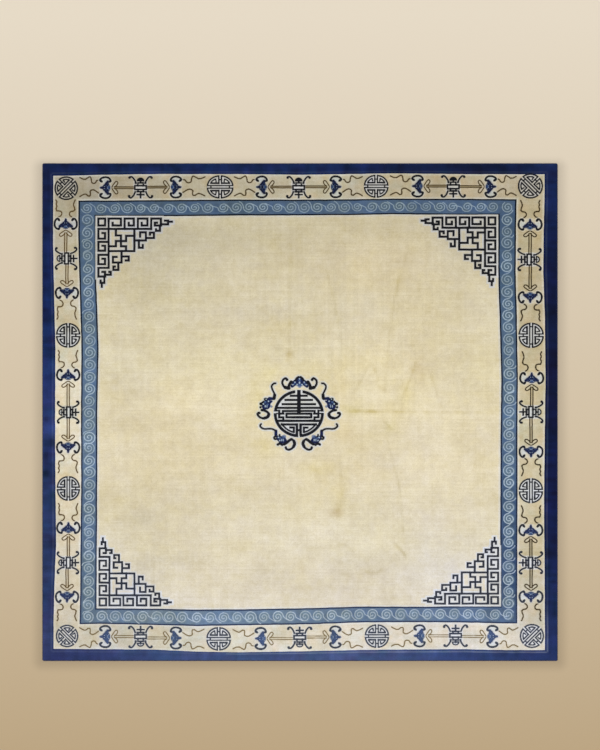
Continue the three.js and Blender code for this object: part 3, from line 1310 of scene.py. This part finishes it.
def weavePiece(name, columns, rows, step, turns=1):
    # one closed piece of the pile, its knots coloured and raised from the chart
    lines = (
        knotLines(*columns, step, (columns[0] == 0, columns[1] == knotsWide)),
        knotLines(*rows, step, (rows[0] == 0, rows[1] == knotsLong)),
    )
    counts = (len(lines[0]) - 1, len(lines[1]) - 1)
    mesh = meshOf(name, slabOfKnots(*counts))

    place = readAll(mesh.vertices, "co", 3)
    foot = place[:, 2] < -0.5
    atI, atJ = (np.rint((place[:, n] + 1) / 2 * counts[n]).astype(int) for n in (0, 1))
    i, j = lines[0][atI], lines[1][atJ]
    level = np.where(foot, slab["pileFoot"], cornerZ[i, j])
    place = np.stack([cornerX[i, j], cornerY[i, j], level], -1) * mm
    mesh.vertices.foreach_set("co", place.ravel())

    vertOf = readAll(mesh.loops, "vertex_index", 1, int)
    starts = readAll(mesh.polygons, "loop_start", 1, int)
    totals = readAll(mesh.polygons, "loop_total", 1, int)
    onFoot = np.add.reduceat(foot[vertOf].astype(int), starts)
    kind = np.where(totals > 4, underside, np.where(onFoot > 0, wallFace, topFace))
    centres = [np.add.reduceat(at[vertOf], starts) / totals for at in (atI, atJ)]
    cell = [np.clip(c.astype(int), 0, n - 1) for c, n in zip(centres, counts)]
    dyeFaces(mesh, lines, cell)

    knots = mesh.uv_layers.new(name="knots")
    knots.uv.foreach_set("vector", np.stack([i, j], -1)[vertOf].astype(float).ravel())
    outI = (atI == counts[0]).astype(int) - (atI == 0)
    outJ = (atJ == counts[1]).astype(int) - (atJ == 0)
    spread = np.where(foot, spareMap["wallSpread"], 0)
    u, v = (i + spread * outI)[vertOf], (j + spread * outJ)[vertOf]
    perLoop = [np.repeat(part, totals) for part in (*cell, kind)]
    flat = stripMap(u, v, perLoop[:2], lines, perLoop[2], turns)
    mesh.uv_layers.new(name="OFBake").uv.foreach_set("vector", flat.ravel())

    ends = readAll(mesh.edges, "vertices", 2, int)
    onRim = (outI != 0) | (outJ != 0)
    sharp = mesh.attributes.new("sharp_edge", "BOOLEAN", "EDGE")
    sharp.data.foreach_set("value", onRim[ends].all(1))
    mesh.polygons.foreach_set("use_smooth", np.ones(len(starts), bool))
    mesh.materials.append(woolPile)
    mesh.update()
    pilePieces.append(putInScene(name, mesh))


def newMaterial(name):
    material = bpy.data.materials.new(name)
    material.use_nodes = True
    material.node_tree.nodes.clear()
    return material, material.node_tree


def addNode(tree, kind, inputs, **settings):
    # a shader node, each of its inputs a plain value or the output of another node
    node = tree.nodes.new("ShaderNode" + kind)
    for name, value in settings.items():
        setattr(node, name, value)
    for slot, value in inputs.items():
        if isinstance(value, bpy.types.NodeSocket):
            tree.links.new(value, node.inputs[slot])
        else:
            node.inputs[slot].default_value = value
    return node


def mathNode(tree, operation, *values):
    return addNode(tree, "Math", dict(enumerate(values)), operation=operation).outputs[0]


def vectorNode(tree, operation, *values):
    node = addNode(tree, "VectorMath", dict(enumerate(values)), operation=operation)
    return node.outputs["Value" if operation in ("LENGTH", "DISTANCE") else "Vector"]


def scaleNode(tree, colour, share):
    node = addNode(tree, "VectorMath", {0: colour, "Scale": share}, operation="SCALE")
    return node.outputs["Vector"]


def objectPlace(tree):
    return addNode(tree, "TexCoord", {}).outputs["Object"]


def splitPlace(tree, place):
    return addNode(tree, "SeparateXYZ", {0: place}).outputs


def noiseNode(tree, place, scale, stretch, detail):
    mapped = addNode(tree, "Mapping", {"Vector": place, "Scale": stretch}).outputs["Vector"]
    return addNode(tree, "TexNoise", {"Vector": mapped, "Scale": scale, "Detail": detail}).outputs["Fac"]


def rampNode(tree, value, stops, blend="LINEAR"):
    # screen tones along a value: each stop is (from 0 to 1, red, green, blue)
    ramp = addNode(tree, "ValToRGB", {"Fac": value})
    ramp.color_ramp.interpolation = blend
    for at, *tone in stops[2:]:
        ramp.color_ramp.elements.new(at)
    for element, (at, *tone) in zip(ramp.color_ramp.elements, stops):
        element.position = at
        element.color = (*toLinear(tone), 1)
    return ramp.outputs["Color"]


def finishMaterial(tree, colour, finish, height=None, bump=None):
    # the shader itself, with a bump of a strength and a distance in metres where it has one
    inputs = {"Base Color": colour, **finish}
    if bump:
        dents = {"Height": height, "Strength": bump[0], "Distance": bump[1]}
        inputs["Normal"] = addNode(tree, "Bump", dents).outputs["Normal"]
    shader = addNode(tree, "BsdfPrincipled", inputs)
    addNode(tree, "OutputMaterial", {"Surface": shader.outputs["BSDF"]})


woolLook = {
    "knotShade": 0.15,  # how much one knot's tone differs from the next
    "shades": [  # amount, scale, stretch along x, y and z, detail
        (0.20, 1, (2.2, 95, 1), 4),  # streaks along the rows
        (0.08, 1, (70, 1.6, 1), 3),  # fainter streaks down the columns
        (0.12, 7, (1, 1, 1), 5),  # hand-sized blotches
        (0.16, 90, (1, 1, 1), 3),  # tufts
    ],
    "shadeTint": (0.86, 1.0, 1.5),  # shading is warm: blue changes more than red
    "dome": -1.4,  # how far a tuft falls away from its middle
    "tuftRise": 0.35,  # how much one tuft stands above the next
    "fibres": 900,
    "bump": (0.6, 0.0011),
    "finish": {"Roughness": 0.93, "Specular IOR Level": 0.1, "Sheen Weight": 0.1, "Sheen Roughness": 0.5},
}


def dyeWoolPile():
    # knotted wool: each knot its own tone, streaks of weft, and a bump of round tufts
    material, tree = newMaterial("woolPile")
    yarn = addNode(tree, "Attribute", {}, attribute_name="yarn").outputs["Color"]
    knots = addNode(tree, "UVMap", {}, uv_map="knots").outputs["UV"]
    place = objectPlace(tree)
    cell = vectorNode(tree, "FLOOR", knots)
    chance = addNode(tree, "TexWhiteNoise", {"Vector": cell}, noise_dimensions="2D").outputs["Value"]
    tone = mathNode(tree, "MULTIPLY_ADD", chance, woolLook["knotShade"], 1)
    most = woolLook["knotShade"]
    for amount, scale, stretch, detail in woolLook["shades"]:
        streak = noiseNode(tree, place, scale, stretch, detail)
        tone = mathNode(tree, "MULTIPLY_ADD", streak, amount, tone)
        most += amount
    tone = mathNode(tree, "SUBTRACT", tone, 1 + most / 2)
    tint = vectorNode(tree, "MULTIPLY_ADD", tone, woolLook["shadeTint"], (1, 1, 1))
    colour = vectorNode(tree, "MULTIPLY", yarn, tint)

    # each tuft is a low dome of cut ends
    fromMiddle = vectorNode(tree, "DISTANCE", vectorNode(tree, "FRACTION", knots), (0.5, 0.5, 0))
    dome = mathNode(tree, "POWER", fromMiddle, 2)
    fibres = noiseNode(tree, place, woolLook["fibres"], (1, 1, 0.4), 3)
    height = mathNode(tree, "MULTIPLY_ADD", dome, woolLook["dome"], fibres)
    height = mathNode(tree, "MULTIPLY_ADD", chance, woolLook["tuftRise"], height)
    finishMaterial(tree, colour, woolLook["finish"], height, woolLook["bump"])
    return material


woolPile = dyeWoolPile()
pilePieces = []


def weaveSides(name, outer, inner, step, turns):
    # a band goes round in four pieces: the two ends run the full width
    wide, long = knotsWide, knotsLong
    weavePiece(f"{name}_north", (outer, wide - outer), (long - inner, long - outer), step, turns)
    weavePiece(f"{name}_south", (outer, wide - outer), (outer, inner), step, turns)
    weavePiece(f"{name}_west", (outer, inner), (inner, long - inner), step, turns)
    weavePiece(f"{name}_east", (wide - inner, wide - outer), (inner, long - inner), step, turns)


fieldPlan = {
    "fretReach": {"west": 149, "east": 158, "ends": 135},  # knots that the corner frets take
    "medallion": (165, 146),
    "plainStep": 3,  # knots to a face where the wool is plain
}


def weaveField():
    inner, step = bandEnds["guard"], fieldPlan["plainStep"]
    west, east, ends = fieldPlan["fretReach"].values()
    i = [inner, inner + west, knotsWide - inner - east, knotsWide - inner]
    j = [inner, inner + ends, knotsLong - inner - ends, knotsLong - inner]
    for name, (wayX, wayY) in cornerWays.items():
        columns, rows = (i[:2] if wayX < 0 else i[2:]), (j[:2] if wayY < 0 else j[2:])
        weavePiece(f"cornerFret_{name}", columns, rows, 1)
    wide, long = fieldPlan["medallion"]
    middleI = [(knotsWide - wide) // 2, (knotsWide + wide) // 2]
    middleJ = [(knotsLong - long) // 2, (knotsLong + long) // 2]
    weavePiece("longLifeMedallion", middleI, middleJ, 1)
    for name, columns, rows in (
        ("north", i[1:3], j[2:]),
        ("south", i[1:3], j[:2]),
        ("west", (i[0], middleI[0]), j[1:3]),
        ("east", (middleI[1], i[3]), j[1:3]),
        ("aboveMedallion", middleI, (middleJ[1], j[2])),
        ("belowMedallion", middleI, (j[1], middleJ[0])),
    ):
        weavePiece(f"creamField_{name}", columns, rows, step)


weaveSides("navyBand", 0, bandEnds["navy"], fieldPlan["plainStep"], 6)
weaveSides("batBorder", bandEnds["navy"], bandEnds["border"], 1, 4)
weaveSides("scrollGuard", bandEnds["border"], bandEnds["guard"], 1, 5)
weaveField()
print(f"pile woven in {len(pilePieces)} pieces")

edgeCord = {
    "width": 5.6,  # mm
    "height": 4.4,
    "tuck": 0.4,  # mm that half the width is drawn in
    "sides": 10,
    "step": 9,  # mm between rings
    "cornerRadius": 9,
    "bulge": (0.21, 0.175),  # mm that the overcast cord swells and thins, across and up
    "bulgeLength": 35,
}
wrapLook = {
    "turns": 0.45,  # of wool in each mm
    "shade": 0.35,  # how much one turn's tone differs from the next
    "tones": [(0.3, 22, 30, 62), (1.0, 52, 64, 104)],
    "fade": 3,
    "fibres": 1200,
    "groove": 2.2,
    "bump": (0.7, 0.0008),
    "finish": {"Roughness": 0.9, "Sheen Weight": 0.15},
}


def edgePath():
    # the line that the cord follows: four round corners and even steps between them
    radius = edgeCord["cornerRadius"]
    halfX, halfY = (size / 2 - edgeCord["width"] / 2 - radius for size in (rugWidth, rugLength))
    corners = ((1, 1), (-1, 1), (-1, -1), (1, -1))
    path = []
    for turn, (wayX, wayY) in enumerate(corners):
        angles = np.linspace(0, math.pi / 2, 6) + turn * math.pi / 2
        path += [(wayX * halfX + radius * math.cos(a), wayY * halfY + radius * math.sin(a)) for a in angles]
        startX, startY = path[-1]
        nextX, nextY = corners[(turn + 1) % 4]
        runX = nextX * halfX + radius * math.cos(angles[-1]) - startX
        runY = nextY * halfY + radius * math.sin(angles[-1]) - startY
        count = int(math.hypot(runX, runY) / edgeCord["step"])
        path += [(startX + runX * n / count, startY + runY * n / count) for n in range(1, count)]
    return np.array(path)


def wrapEdge():
    # a bundle of warps overcast in navy wool, all the way round
    path = edgePath()
    following = np.roll(path, -1, axis=0)
    heading = following - np.roll(path, 1, axis=0)
    heading /= np.linalg.norm(heading, axis=1)[:, None]
    outward = np.stack([heading[:, 1], -heading[:, 0]], -1)
    run = np.concatenate([[0], np.linalg.norm(following - path, axis=1).cumsum()])
    rings, sides = len(path), edgeCord["sides"]

    bm = bmesh.new()
    bmesh.ops.create_grid(bm, x_segments=rings, y_segments=sides, size=1)
    mesh = meshOf("edgeCord", bm)
    place = readAll(mesh.vertices, "co", 3)
    atRing = np.rint((place[:, 0] + 1) / 2 * rings).astype(int)
    atSide = np.rint((place[:, 1] + 1) / 2 * sides).astype(int)
    ring, angle = atRing % rings, atSide / sides * 2 * math.pi
    swell = softNoise(run[ring], 0 * angle, edgeCord["bulgeLength"], 1, seeds["cordSwell"])
    swellAcross, swellUp = (swell * size for size in edgeCord["bulge"])
    across = np.cos(angle) * (edgeCord["width"] / 2 - edgeCord["tuck"] + swellAcross)
    up = edgeCord["height"] / 2 + np.sin(angle) * (edgeCord["height"] / 2 + swellUp)
    spot = path[ring] + outward[ring] * across[:, None]
    mesh.vertices.foreach_set("co", (np.column_stack([spot, np.maximum(up, 0)]) * mm).ravel())
    vertOf = readAll(mesh.loops, "vertex_index", 1, int)
    wraps = np.column_stack([run[atRing], atSide / sides])[vertOf]
    mesh.uv_layers.new(name="wraps").uv.foreach_set("vector", wraps.ravel())
    bm = bmesh.new()
    bm.from_mesh(mesh)
    bmesh.ops.remove_doubles(bm, verts=bm.verts, dist=0.00001)
    bmesh.ops.recalc_face_normals(bm, faces=bm.faces)
    bm.to_mesh(mesh)
    bm.free()
    mesh.polygons.foreach_set("use_smooth", np.ones(len(mesh.polygons), bool))
    mesh.materials.append(dyeWrapWool())
    return putInScene("edgeCord", mesh)


def dyeWrapWool():
    # navy wool wound round the edge, one turn beside the next
    material, tree = newMaterial("wrapWool")
    wraps = addNode(tree, "UVMap", {}, uv_map="wraps").outputs["UV"]
    parts, place = splitPlace(tree, wraps), objectPlace(tree)
    leaning = mathNode(tree, "ADD", parts["Y"], parts["X"])
    turn = mathNode(tree, "MULTIPLY", leaning, wrapLook["turns"])
    winding = mathNode(tree, "FLOOR", turn)
    chance = addNode(tree, "TexWhiteNoise", {"W": winding}, noise_dimensions="1D").outputs["Value"]
    fade = noiseNode(tree, place, wrapLook["fade"], (1, 1, 1), 4)
    mixed = mathNode(tree, "MULTIPLY_ADD", chance, wrapLook["shade"], fade)
    colour = rampNode(tree, mixed, wrapLook["tones"])
    groove = mathNode(tree, "PINGPONG", turn, 0.5)
    fibres = noiseNode(tree, place, wrapLook["fibres"], (1, 1, 1), 3)
    height = mathNode(tree, "MULTIPLY_ADD", groove, wrapLook["groove"], fibres)
    finishMaterial(tree, colour, wrapLook["finish"], height, wrapLook["bump"])
    return material


cord = wrapEdge()
print("edge overcast")

backing = {
    "inset": 3.0,  # mm that the cotton stays in from the rug's edge
    "rounding": 1.0,
    "faces": (48, 46),
    "warp": 3.6,  # mm between warps
    "bands": [  # metres in from the edge, red, green, blue
        (0.0, 44, 54, 92),
        (0.100, 176, 168, 150),
        (0.265, 104, 124, 150),
        (0.385, 190, 180, 156),
    ],
    "waver": 0.03,  # metres
    "streaks": (0.3, 0.85),  # how much the tone changes, from its darkest
    "bump": (0.6, 0.003),
    "finish": {"Roughness": 0.95},
}


def dyeCotton():
    # the back of the knots: warps and wefts, with the bands showing through
    material, tree = newMaterial("cottonBack")
    place = objectPlace(tree)
    parts = splitPlace(tree, place)
    fromX, fromY = (
        mathNode(tree, "SUBTRACT", size / 2 * mm, mathNode(tree, "ABSOLUTE", parts[way]))
        for way, size in (("X", rugWidth), ("Y", rugLength))
    )
    waver = noiseNode(tree, place, 6, (1, 1, 1), 3)
    fromEdge = mathNode(tree, "MINIMUM", fromX, fromY)
    fromEdge = mathNode(tree, "MULTIPLY_ADD", waver, backing["waver"], fromEdge)
    bands = rampNode(tree, fromEdge, backing["bands"], "CONSTANT")
    streak = noiseNode(tree, place, 1, (3, 140, 1), 4)
    colour = scaleNode(tree, bands, mathNode(tree, "MULTIPLY_ADD", streak, *backing["streaks"]))
    pitch = 1 / (backing["warp"] * mm)
    columns, rows = (
        mathNode(tree, "PINGPONG", mathNode(tree, "MULTIPLY", parts[way], pitch), 0.5) for way in "XY"
    )
    height = mathNode(tree, "MULTIPLY", columns, rows)
    finishMaterial(tree, colour, backing["finish"], height, backing["bump"])
    return material


def weaveCotton():
    # a thin sheet with a rounded rim, under the whole pile
    bm = bmesh.new()
    bmesh.ops.create_grid(bm, x_segments=backing["faces"][0], y_segments=backing["faces"][1], size=1)
    wide, long = (size - 2 * backing["inset"] for size in (rugWidth, rugLength))
    bmesh.ops.scale(bm, vec=(wide / 2 * mm, long / 2 * mm, 1), verts=bm.verts)
    up = bmesh.ops.extrude_face_region(bm, geom=bm.faces[:])["geom"]
    top = [part for part in up if isinstance(part, bmesh.types.BMVert)]
    bmesh.ops.translate(bm, verts=top, vec=(0, 0, slab["backTop"] * mm))
    bmesh.ops.recalc_face_normals(bm, faces=bm.faces)
    rim = [edge for edge in bm.edges if edge.calc_face_angle(0) > 1]
    rounding = {"offset": backing["rounding"] * mm, "segments": 3, "profile": 0.5}
    bmesh.ops.bevel(bm, geom=rim, affect="EDGES", material=-1, **rounding)
    mesh = meshOf("cottonBack", bm)
    mesh.materials.append(dyeCotton())
    return putInScene("cottonBack", mesh)


back = weaveCotton()

for piece in (*pilePieces, cord, back):
    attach(piece, "root")
    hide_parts("rug")
print("pieces fitted to the rug's body")

room = {
    "floor": 240,  # metres
    "floorTones": [  # y in metres, red, green, blue
        (-2.4, 188, 165, 130),
        (-0.3, 211, 193, 165),
        (2.7, 232, 220, 200),
    ],
    "shade": 0.79,  # how far the floor darkens right beside the rug
    "shadeReach": 0.095,  # metres
    "shadeSkip": 0.035,  # less of it beyond the end nearest the lamp
    "airTone": (255, 255, 255),
    "airStrength": 0.7,
    "lampStrength": 1.1,
    "lampPlace": (-3.4, 3.2, 6.5),
    "lampSpread": 35,  # degrees
}


def paintFloor():
    # a tone that deepens towards one end, and a soft shade round the rug
    material, tree = newMaterial("floorPaint")
    place = objectPlace(tree)
    parts = splitPlace(tree, place)
    tones = room["floorTones"]
    low, high = tones[0][0], tones[-1][0]
    spread = addNode(tree, "MapRange", {"Value": parts["Y"], "From Min": low, "From Max": high})
    stops = [((y - low) / (high - low), *tone) for y, *tone in tones]
    paint = rampNode(tree, spread.outputs["Result"], stops)
    skip = room["shadeSkip"] / 2
    moved = vectorNode(tree, "ABSOLUTE", vectorNode(tree, "ADD", place, (0, skip, 0)))
    beyond = vectorNode(tree, "SUBTRACT", moved, (rugHigh[0], rugHigh[1] - skip, 0))
    away = vectorNode(tree, "LENGTH", vectorNode(tree, "MAXIMUM", beyond, (0, 0, 0)))
    reach = {"Value": away, "From Max": room["shadeReach"], "To Min": room["shade"]}
    shade = addNode(tree, "MapRange", reach, interpolation_type="SMOOTHSTEP")
    colour = scaleNode(tree, paint, shade.outputs["Result"])
    finishMaterial(tree, colour, {"Roughness": 0.9, "Specular IOR Level": 0.1})
    return material


def layFloor():
    bm = bmesh.new()
    bmesh.ops.create_grid(bm, x_segments=8, y_segments=8, size=room["floor"] / 2)
    mesh = meshOf("paleFloor", bm)
    mesh.materials.append(paintFloor())
    putInScene("paleFloor", mesh)


def lightRoom():
    world = bpy.data.worlds.new("studioAir")
    world.use_nodes = True
    air = world.node_tree.nodes["Background"]
    air.inputs["Color"].default_value = (*toLinear(room["airTone"]), 1)
    air.inputs["Strength"].default_value = room["airStrength"]
    bpy.context.scene.world = world
    data = bpy.data.lights.new("softLamp", "SUN")
    data.angle = math.radians(room["lampSpread"])
    data.energy = room["lampStrength"]
    lamp = putInScene("softLamp", data)
    lamp.location = room["lampPlace"]
    aim = -lamp.location.normalized()
    lamp.rotation_euler = aim.to_track_quat("-Z", "Y").to_euler()


layFloor()
lightRoom()
print("floor and light set")
